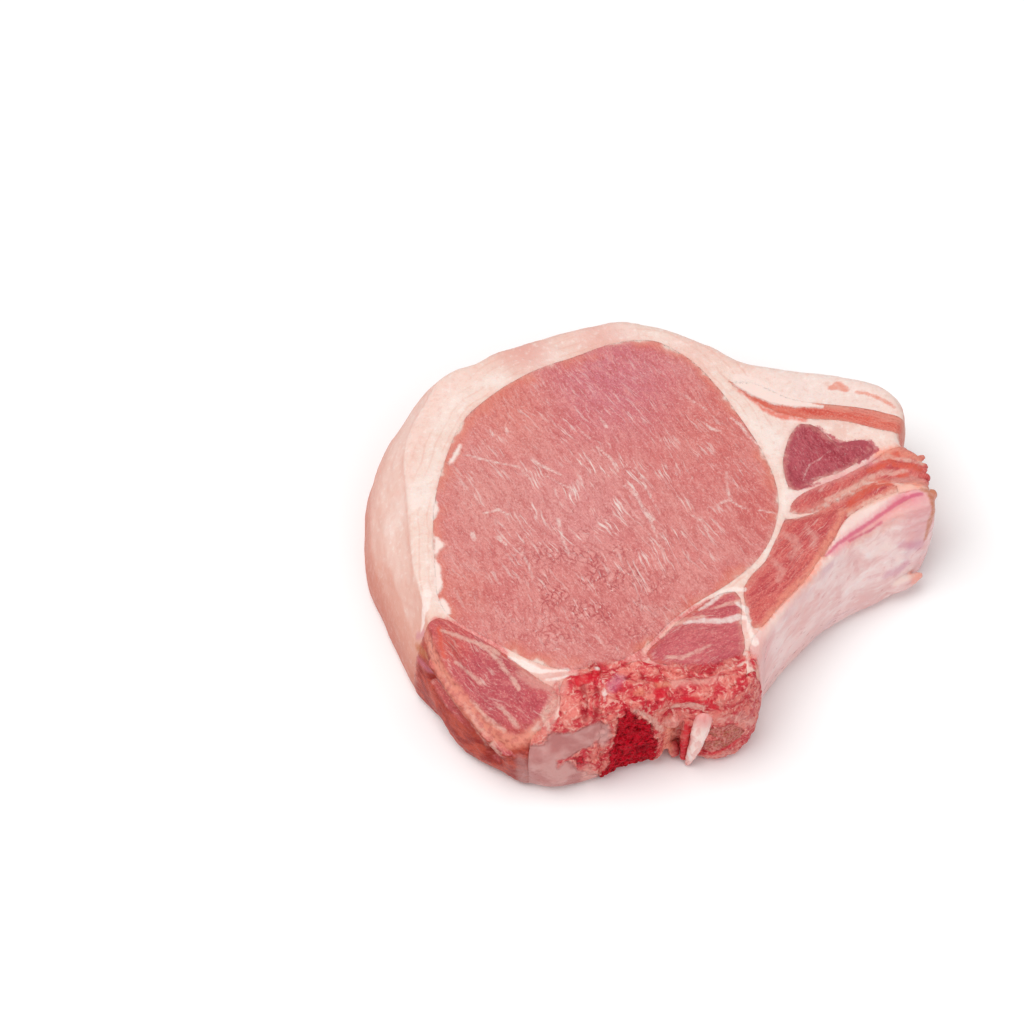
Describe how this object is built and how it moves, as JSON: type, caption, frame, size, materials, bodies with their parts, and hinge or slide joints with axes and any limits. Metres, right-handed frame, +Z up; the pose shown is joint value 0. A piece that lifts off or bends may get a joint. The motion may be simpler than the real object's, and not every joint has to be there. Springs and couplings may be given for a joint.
{
  "type": "raw bone-in pork chop",
  "caption": "Thick raw rib chop lying flat: round pink loin eye, creamy back fat, small side muscles and a curved rib along one edge.",
  "frame": {"origin": "middle of the chop's outline, on the flat cut face it lies on", "axes": "+X towards the tip of the rib and the rib meat, +Y towards the back fat above the eye, +Z up through the thickness of the chop"},
  "size_m": [0.1256, 0.1122, 0.025],
  "materials": {
    "loin_meat": "satin",
    "dark_meat": "satin",
    "rib_meat": "satin",
    "torn_tissue": "satin",
    "fat": "satin",
    "gristle": "gloss",
    "marrow": "satin",
    "cut_bone": "matte",
    "rib_lining": "gloss",
    "nerve": "gloss"
  },
  "bodies": {
    "root": {"loin_eye": "loin_meat", "dark_side_muscle": "dark_meat", "lower_muscle": "dark_meat", "feather_muscle": "dark_meat", "tail_streak": "rib_meat", "upper_rib_meat": "rib_meat", "lower_rib_meat": "rib_meat", "spinal_tissue": "torn_tissue", "back_fat": "fat", "gristle": "gristle", "spongy_bone": "marrow", "backbone_end": "cut_bone", "rib_bone": "rib_lining", "nerve_strip": "nerve"}
  },
  "joints": []
}
